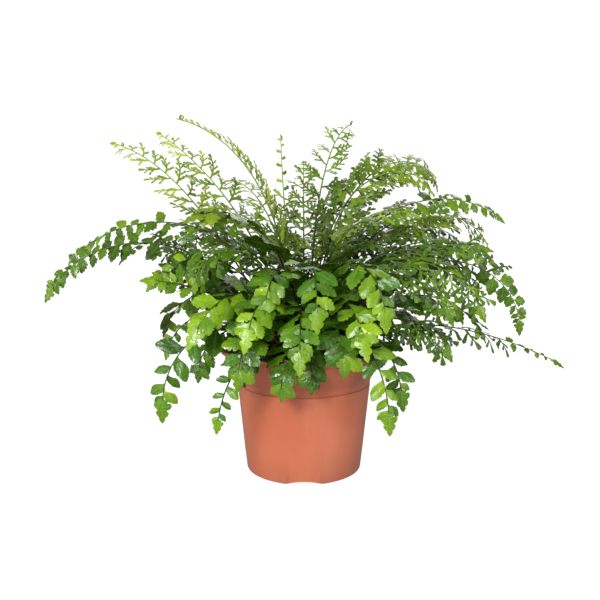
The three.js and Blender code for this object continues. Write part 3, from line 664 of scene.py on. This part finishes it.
def grow_leaflet(parts, blades, rib, row, i, rng):
    """The leaflet or pinna with the number i on a frond's rib."""
    _, habit, *_, size, brightness, bare = row
    step = (i + .5) / habit["count"]
    share = bare + (TIP_SHARE - bare) * (1 - (1 - step) ** habit.get("crowding", CROWDING))
    place, along, _, up = rib.frame(share)
    side = 1 if i % 2 == 0 else -1
    length = habit["long"] * (1 - (1 - habit["taper"]) * (i / (habit["count"] - 1)) ** habit["fade"])
    length *= size * rng.uniform(*LEAFLET_LONG)
    facing = turned(up, along, either(rng, habit["tilt"]))
    across = np.cross(facing, along)
    lean = math.radians(habit["lean"] + either(rng, LEAN_SPREAD) - LEAN_FADE * step)
    axis = along * math.cos(lean) + across * math.sin(lean) * side
    axis = unit(axis + facing * (rng.uniform(*LEAFLET_LIFT) + habit.get("fold", 0)))
    facing = unit(facing - axis * np.dot(facing, axis))
    facing = turned(facing, axis, either(rng, LEAFLET_ROLL))
    # Painted shade: leaflets nearer the frond's root, towards the shaded crown, are darker.
    tint = brightness + either(rng, LEAFLET_TINT) + habit["young"] * (step - .5)
    if length > habit["single"]:
        grow_pinna(parts, blades, habit, place, axis, facing, side, length, tint, rng)
        return
    length *= habit["single_long"]
    blades[habit["blade"]][rng.integers(BLADE_VARIANTS)].place(
        parts, place, axis, facing, length, length * habit["slim"],
        habit["droop"] * rng.uniform(*LEAFLET_DROOP), rng.uniform(*LEAFLET_CUP), tint, side < 0,
        ripple=LEAFLET_RIPPLE)


def grow_curl(parts, place, along, left, up, thin):
    """The rolled tip of a frond that hasn't opened yet: a flat spiral that closes upward."""
    turns = np.linspace(0, CURL_TURNS * 2 * math.pi, CURL_STEPS)
    radii = CURL_R * (1 - CURL_CLOSE * turns / turns[-1])
    middle = place + up * CURL_R
    centres = [middle + r * (along * math.sin(a) - up * math.cos(a)) for r, a in zip(radii, turns)]
    across = [(left, unit(middle - centre)) for centre in centres]
    first, last = CURL_THICK
    thick = np.linspace(thin * first, thin * last, CURL_STEPS)
    tube(parts, centres, across, thick, CURL_SIDES, np.tile(CURL_VALUES, (CURL_STEPS, 1)), LEAF)


def grow_frond(row, index, blades, materials):
    name, habit, *curve, size, brightness, _ = row
    rng = np.random.default_rng(SEED + index)
    rib = Rib(*curve)
    parts = Parts()
    grow_stem(parts, rib, habit, brightness)
    for i in range(habit["count"]):
        grow_leaflet(parts, blades, rib, row, i, rng)
    place, along, left, up = rib.frame(TIP_SHARE)
    if name in ROLLED:
        grow_curl(parts, place, along, left, up, habit["rib"][1])
    else:
        end = blades[habit["tip_blade"]][rng.integers(BLADE_VARIANTS)]
        length = habit["tip"] * size
        tint = brightness + TIP_TINT
        end.place(parts, place, along, up, length, length * TIP_SLIM, TIP_DROOP, TIP_CUP, tint, False)
    frond = parts.object("leaves_" + name, [materials["stem"], materials[habit["slot"]]], FROND_SHARP)
    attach(frond, "root")
    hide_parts("frond_" + name)


# ---- Pot ----
def lathe(profile, segments, shift):
    """A closed mesh turned about the z axis. The profile starts and ends on the axis, and shift
    moves each point that is off it."""
    made = bmesh.new()
    rings = []
    for radius, height in profile:
        if radius == 0:
            rings.append([made.verts.new((0, 0, height * MM))] * segments)
            continue
        ring = []
        for i in range(segments):
            angle = 2 * math.pi * i / segments
            x, y, z = shift(radius * math.cos(angle), radius * math.sin(angle), height)
            ring.append(made.verts.new((x * MM, y * MM, z * MM)))
        rings.append(ring)
    for lower, upper in zip(rings, rings[1:]):
        for i in range(segments):
            j = (i + 1) % segments
            corners = dict.fromkeys((lower[i], lower[j], upper[j], upper[i]))
            made.faces.new(list(corners))
    bmesh.ops.recalc_face_normals(made, faces=made.faces)
    return made


def unpacked(made):
    """The points and faces of a bmesh, which is then freed."""
    made.verts.index_update()
    points = np.array([v.co for v in made.verts])
    faces = [[v.index for v in f.verts] for f in made.faces]
    made.free()
    return points, faces


def piece(name, made, materials):
    """An object in the scene from a bmesh, which is then freed."""
    mesh = bpy.data.meshes.new(name)
    made.to_mesh(mesh)
    made.free()
    for material in materials:
        mesh.materials.append(material)
    return show(name, mesh)


def notched(x, y, z):
    """Raises the foot ring's edge into the water gaps at the front, back and sides."""
    radius = math.hypot(x, y)
    if z > RING_TOP or radius < RING_INNER or radius > RING_OUTER:
        return x, y, z
    angle = math.atan2(y, x)
    step = 2 * math.pi / NOTCH_COUNT
    off = abs((angle + math.pi / 2 + step / 2) % step - step / 2) * radius / NOTCH_HALF_WIDTH
    rise = NOTCH_TOP * math.cos(min(off, 1) * math.pi / 2) ** NOTCH_ROUND
    return x, y, max(z, rise + z * NOTCH_SLANT)


def drain_cutter():
    """The rods that cut the drain holes, in one object."""
    cutters = bmesh.new()
    for i in range(DRAIN_COUNT):
        angle = (i + .5) * 2 * math.pi / DRAIN_COUNT
        made = bmesh.ops.create_cone(cutters, cap_ends=True, segments=DRAIN_SIDES,
                                     radius1=DRAIN_R * MM, radius2=DRAIN_R * MM, depth=DRAIN_CUT * MM)
        shift = Vector(level(angle) * DRAIN_RING + (0, 0, DRAIN_Z)) * MM
        bmesh.ops.translate(cutters, verts=made["verts"], vec=shift)
    return piece("drain_cutter", cutters, [])


def make_pot(material):
    """The pot, turned about its axis and cut by the drain holes."""
    inner_collar = [(radius - WALL, height) for radius, height in reversed(COLLAR)]
    outline = FOOT + BODY + CREASE + COLLAR + RIM + inner_collar + INSIDE
    pot = piece("pot_moulded", lathe(outline, POT_SEGMENTS, notched), [material])
    cutter = drain_cutter()
    cut = pot.modifiers.new("drain", "BOOLEAN")
    cut.object, cut.operation, cut.solver = cutter, "DIFFERENCE", "MANIFOLD"
    depsgraph = bpy.context.evaluated_depsgraph_get()
    finished = bpy.data.meshes.new_from_object(pot.evaluated_get(depsgraph))
    pot.modifiers.clear()
    pot.data = finished
    shade(finished, POT_SHARP)
    bpy.data.objects.remove(cutter)
    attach(pot, "root")
    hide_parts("pot")


# ---- Potting mix and crown ----
def relief(place, scale, height):
    """How far a rough surface stands out at a place."""
    return height * noise.fractal(Vector(place) * scale, *RELIEF_WAVES)


def lump(parts, centre, size, rng):
    """A rough granule: a ball with its corners moved, squashed and turned."""
    ball = bmesh.new()
    bmesh.ops.create_icosphere(ball, subdivisions=2, radius=1)
    points, faces = unpacked(ball)
    points *= 1 + either(rng, GRANULE_ROUGH, (len(points), 1))
    points *= np.array([1, rng.uniform(*GRANULE_WIDE), rng.uniform(*GRANULE_TALL)]) * size
    turn = rng.uniform(0, 2 * math.pi)
    c, s = math.cos(turn), math.sin(turn)
    points = points @ np.array([[c, s, 0], [-s, c, 0], [0, 0, 1]])
    parts.add(points + centre, faces, (rng.uniform(0, 1), 0, 0))


def soil_top(radius):
    """The height of the mix: domed under the crown and lower towards the wall."""
    radii, heights = zip(*SOIL_SLOPE)
    return SOIL_Z + float(np.interp(radius, radii, heights))


def make_mix(material):
    """The mix, with a rough top and loose granules."""
    rng = np.random.default_rng(SEED)
    top = [(radius, soil_top(radius)) for radius in reversed(SOIL_RINGS)]

    def rough(x, y, z):
        return x, y, z if z < SOIL_Z - SOIL_EDGE else z + relief((x, y, 0), *SOIL_RELIEF) - SOIL_LOW

    bed = lathe(SOIL_SIDE + top + [(0, SOIL_Z + SOIL_DOME)], SOIL_SEGMENTS, rough)
    points, faces = unpacked(bed)
    parts = Parts()
    parts.add(points / MM, faces, (.4, 0, 0))
    inner, outer = GRANULE_RING
    for _ in range(GRANULES):
        radius = math.sqrt(rng.uniform(inner ** 2, outer ** 2))
        angle = rng.uniform(0, 2 * math.pi)
        size = rng.uniform(*GRANULE_SIZE)
        centre = level(angle) * radius + (0, 0, soil_top(radius) + size * GRANULE_UP)
        lump(parts, centre, size, rng)
    mix = parts.object("mix_granular", [material], EARTH_SHARP)
    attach(mix, "root")
    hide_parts("potting_mix")


def add_scale(parts, rng):
    """A narrow scale of the crown, which leans outward or up and bends a little."""
    radius = CROWN_R * math.sqrt(rng.uniform(0, SCALE_REACH))
    angle = rng.uniform(0, 2 * math.pi)
    out = level(angle)
    root = out * radius + (0, 0, crown_height(radius) - SCALE_SUNK)
    axis = out * rng.uniform(*SCALE_OUT) + (0, 0, rng.uniform(*SCALE_RISE))
    axis = unit(axis + either(rng, SCALE_STRAY, 3))
    side = unit(np.cross(axis, either(rng, 1, 3)))
    up = np.cross(axis, side)
    long, wide = rng.uniform(*SCALE_LONG), rng.uniform(*SCALE_WIDE)
    centres = [root + axis * long * share + up * SCALE_CURL * share * share for share, _ in SCALE_SHAPE]
    across = [(side, up * SCALE_THICK)] * len(SCALE_SHAPE)
    values = np.tile((rng.uniform(*SCALE_TINT), 0, 0), (len(SCALE_SHAPE), 1))
    tube(parts, centres, across, [wide * share for _, share in SCALE_SHAPE], SCALE_SIDES, values)


def make_crown(material):
    """The top of the rhizome, covered in narrow brown scales."""
    rng = np.random.default_rng(SEED + 1)
    outline = [(0, CROWN_FOOT[1]), CROWN_FOOT]
    outline += [(radius, crown_height(radius) - CROWN_LOW) for radius in CROWN_RINGS]
    outline.append((0, SOIL_Z + CROWN_TOP))

    def rough(x, y, z):
        return x, y, z + relief((x, y, z), *CROWN_RELIEF)

    dome = lathe(outline, CROWN_SEGMENTS, rough)
    points, faces = unpacked(dome)
    parts = Parts()
    parts.add(points / MM, faces, (.3, 0, 0))
    for _ in range(SCALES):
        add_scale(parts, rng)
    crown = parts.object("crown_scaly", [material], EARTH_SHARP)
    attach(crown, "root")
    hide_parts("crown")


# ---- Materials ----
class Shader:
    """A node material being built. A node's inputs are numbers, colours or other sockets. Bare
    numbers in its calls are scales, strengths and shares, and a bump's distance in metres."""

    def __init__(self, name):
        self.material = bpy.data.materials.new(name)
        self.material.use_nodes = True
        self.tree = self.material.node_tree
        self.surface = self.tree.nodes["Principled BSDF"]

    def set(self, node, inputs):
        for key, value in inputs.items():
            socket = node.inputs[key]
            if isinstance(value, bpy.types.NodeSocket):
                self.tree.links.new(value, socket)
            else:
                socket.default_value = value
        return node

    def add(self, kind, inputs=None, **settings):
        node = self.tree.nodes.new("ShaderNode" + kind)
        for key, value in settings.items():
            setattr(node, key, value)
        return self.set(node, inputs or {})

    def math(self, operation, a, b=0.0, clamp=False):
        return self.add("Math", {0: a, 1: b}, operation=operation, use_clamp=clamp).outputs[0]

    def span(self, value, low, high, to_low=0.0, to_high=1.0):
        """value from low..high to to_low..to_high, held at both ends."""
        inputs = {"Value": value, "From Min": low, "From Max": high, "To Min": to_low, "To Max": to_high}
        return self.add("MapRange", inputs, interpolation_type="SMOOTHSTEP").outputs[0]

    def ramp(self, value, colours):
        node = self.add("ValToRGB", {"Fac": value})
        stops = node.color_ramp.elements
        while len(stops) < len(colours):
            stops.new(.5)
        for i, colour in enumerate(colours):
            stops[i].position = i / (len(colours) - 1)
            stops[i].color = linear(colour)
        return node.outputs["Color"]

    def mix(self, share, colour, other):
        """colour turned to other, an sRGB one, by share. The numbers are the node's sockets."""
        node = self.add("Mix", data_type="RGBA")
        self.set(node, {0: share, 6: colour, 7: linear(other)})
        return node.outputs[2]

    def place(self):
        return self.add("TexCoord").outputs["Object"]

    def noise(self, scale, detail=3.0, rough=.5, stretch=None):
        place = self.place()
        if stretch:
            place = self.add("Mapping", {"Vector": place, "Scale": stretch}).outputs[0]
        inputs = {"Vector": place, "Scale": scale, "Detail": detail, "Roughness": rough}
        return self.add("TexNoise", inputs).outputs["Fac"]

    def values(self):
        """The three numbers that a piece's vertices carry for their material."""
        attribute = self.add("Attribute", attribute_name="values")
        return self.add("SeparateXYZ", {0: attribute.outputs["Vector"]}).outputs

    def bump(self, height, strength, distance):
        inputs = {"Height": height, "Strength": strength, "Distance": distance}
        return self.add("Bump", inputs).outputs[0]

    def finish(self, inputs):
        self.set(self.surface, inputs)
        return self.material


def leaf_material(name, colours):
    """Glossy tissue with paler veins, midrib and margin, soft blisters and a fine grain."""
    s = Shader(name)
    tint, vein, edge = s.values()
    patches = s.noise(90, 2)
    tone = s.math("ADD", tint, s.math("MULTIPLY", s.math("SUBTRACT", patches, .5), .45), True)
    colour = s.ramp(tone, colours)
    veins = s.span(s.math("SINE", s.math("MULTIPLY", vein, VEIN_WAVES)), .72, 1)
    colour = s.mix(s.math("MULTIPLY", veins, .14), colour, LEAF_VEIN)
    midrib = s.span(edge, .02, .12, 1, 0)
    colour = s.mix(s.math("MULTIPLY", midrib, .2), colour, LEAF_MIDRIB)
    margin = s.span(edge, .86, 1)
    colour = s.mix(s.math("MULTIPLY", margin, .14), colour, LEAF_MARGIN)
    blisters = s.math("MULTIPLY", s.noise(380, 2), 1.7)
    grain = s.math("MULTIPLY", s.noise(2600, 2), .2)
    height = s.math("SUBTRACT", s.math("ADD", blisters, grain), s.math("MULTIPLY", veins, .6))
    rough = s.span(s.noise(160), .3, .7, .16, .34)
    return s.finish({
        "Base Color": colour, "Roughness": rough, "Normal": s.bump(height, .5, .0004),
        "Subsurface Weight": .08, "Subsurface Radius": (.3, 1, .1), "Subsurface Scale": .001,
        "Specular IOR Level": .46,
    })


def stem_material():
    """Dark and scaly-brown below and green above, with streaks along it."""
    s = Shader("stem_skin")
    green, _, _ = s.values()
    streaks = s.noise(500, 3, .6, (1, 1, .15))
    colour = s.ramp(green, STEM_RAMP)
    colour = s.mix(s.span(streaks, .45, .7, 0, .35), colour, STEM_STREAK)
    return s.finish({
        "Base Color": colour, "Roughness": s.span(streaks, .3, .7, .34, .55),
        "Normal": s.bump(streaks, .4, .0002), "Specular IOR Level": .22,
    })


def pot_material():
    """Moulded plastic, cloudy and streaked, with painted shade darkening it towards the ground and a
    painted shade line in the crease.
    """
    s = Shader("pot_plastic")
    cloud = s.noise(14, 4, .55)
    streaks = s.noise(60, 3, .6, (1, 1, .12))
    grain = s.noise(3200, 2)
    colour = s.mix(s.span(cloud, .35, .65), linear(POT_COLOUR), POT_CLOUD)
    colour = s.mix(s.span(streaks, .5, .75, 0, .3), colour, POT_STREAK)
    height = s.add("SeparateXYZ", {0: s.place()}).outputs[2]
    # Painted shade: a mottled darkening towards the ground.
    low_shade = s.math("MULTIPLY", s.span(height, LOW_SHADE_TOP * MM, 0, 0, .5), s.noise(120, 5, .7))
    colour = s.mix(low_shade, colour, POT_LOW_SHADE)
    # Painted shade: a dark line along the crease, under the collar's edge.
    off = s.math("ABSOLUTE", s.math("SUBTRACT", height, CREASE_SHADE_Z * MM))
    crease_shade = s.span(off, CREASE_SHADE_HALF * MM, CREASE_SHADE_CORE * MM, 0, .42)
    colour = s.mix(crease_shade, colour, POT_CREASE_SHADE)
    rough = s.math("ADD", s.span(cloud, .3, .7, .27, .36), s.math("MULTIPLY", streaks, .1))
    bumps = s.math("ADD", grain, s.math("MULTIPLY", streaks, .8))
    return s.finish({
        "Base Color": colour, "Roughness": rough, "Normal": s.bump(bumps, .12, .0002),
        "Specular IOR Level": .45, "Subsurface Weight": .08, "Subsurface Radius": (1, .3, .15),
        "Subsurface Scale": .002,
    })


def earth_material(name, colours, scale, roughness):
    """Dull, coarse fibre, darkest in its fine pits."""
    s = Shader(name)
    tint, _, _ = s.values()
    coarse = s.noise(scale, 5, .65)
    fine = s.noise(scale * 7, 3, .7)
    tone = s.math("ADD", s.math("MULTIPLY", tint, .5), s.math("MULTIPLY", coarse, .5))
    colour = s.ramp(tone, colours)
    colour = s.mix(s.span(fine, .55, .75, 0, .5), colour, colours[0])
    height = s.math("ADD", coarse, s.math("MULTIPLY", fine, .5))
    return s.finish({
        "Base Color": colour, "Roughness": s.span(fine, .3, .7, roughness, .98),
        "Normal": s.bump(height, .8, .0006),
    })


def make_materials():
    made = {slot: leaf_material(slot, colours) for slot, colours in LEAF_RAMPS.items()}
    made["stem"] = stem_material()
    made["pot"] = pot_material()
    made["mix"] = earth_material("mix_fibre", MIX_RAMP, 260, .8)
    made["crown"] = earth_material("crown_scales", CROWN_RAMP, 340, .6)
    return made


# ---- Stage ----
def make_floor():
    s = Shader("floor_paper")
    tone = s.mix(s.span(s.noise(3, 2), .3, .7), linear(PAPER), PAPER_SHADE)
    glow = s.math("MULTIPLY", s.add("LightPath").outputs["Is Camera Ray"], FLOOR_GLOW)
    paper = s.finish({
        "Base Color": tone, "Roughness": .9, "Specular IOR Level": .1, "Emission Color": (1, 1, 1, 1),
        "Emission Strength": glow,
    })
    made = bmesh.new()
    bmesh.ops.create_grid(made, x_segments=1, y_segments=1, size=FLOOR_SIZE)
    floor = piece("floor", made, [paper])


def make_sky():
    """A soft white sky that lights the plant, and a white backdrop for the camera alone."""
    world = bpy.data.worlds.new("studio")
    world.use_nodes = True
    tree = world.node_tree
    backdrop = tree.nodes["Background"]
    lighting = tree.nodes.new("ShaderNodeBackground")
    for shader, power in ((backdrop, BACKDROP_POWER), (lighting, SKY_POWER)):
        shader.inputs["Color"].default_value = (1, 1, 1, 1)
        shader.inputs["Strength"].default_value = power
    path = tree.nodes.new("ShaderNodeLightPath")
    mix = tree.nodes.new("ShaderNodeMixShader")
    tree.links.new(path.outputs["Is Camera Ray"], mix.inputs[0])
    tree.links.new(lighting.outputs[0], mix.inputs[1])
    tree.links.new(backdrop.outputs[0], mix.inputs[2])
    tree.links.new(mix.outputs[0], tree.nodes["World Output"].inputs["Surface"])
    bpy.context.scene.world = world


def place_light(light, place):
    lit = show(light.name, light)
    lit.location = place
    lit.rotation_euler = (Vector(LIT_PLACE) - lit.location).to_track_quat("-Z", "Y").to_euler()


def make_lights():
    sun = bpy.data.lights.new("sun", "SUN")
    sun.energy, sun.angle = SUN_POWER, math.radians(SUN_ANGLE)
    place_light(sun, SUN_PLACE)
    for name, place, wide, tall, power in LAMPS:
        lamp = bpy.data.lights.new(name, "AREA")
        lamp.shape = "RECTANGLE"
        lamp.energy, lamp.size, lamp.size_y = power, wide, tall
        place_light(lamp, place)


def make_camera():
    data = bpy.data.cameras.new("camera")
    data.lens, data.sensor_width = CAMERA_LENS, CAMERA_SENSOR
    data.clip_start, data.clip_end = .01, 100
    camera = show("camera", data)
    camera.location = [MM * c for c in CAMERA_PLACE]
    camera.rotation_euler = (math.radians(90 - CAMERA_PITCH), 0, 0)
    bpy.context.scene.camera = camera


make_camera()
make_floor()
make_sky()
make_lights()
bpy.context.scene.view_settings.view_transform = "Standard"

materials = make_materials()
make_pot(materials["pot"])
make_mix(materials["mix"])
make_crown(materials["crown"])
blades = make_blades()
for index, row in enumerate(FRONDS):
    grow_frond(row, index, blades, materials)
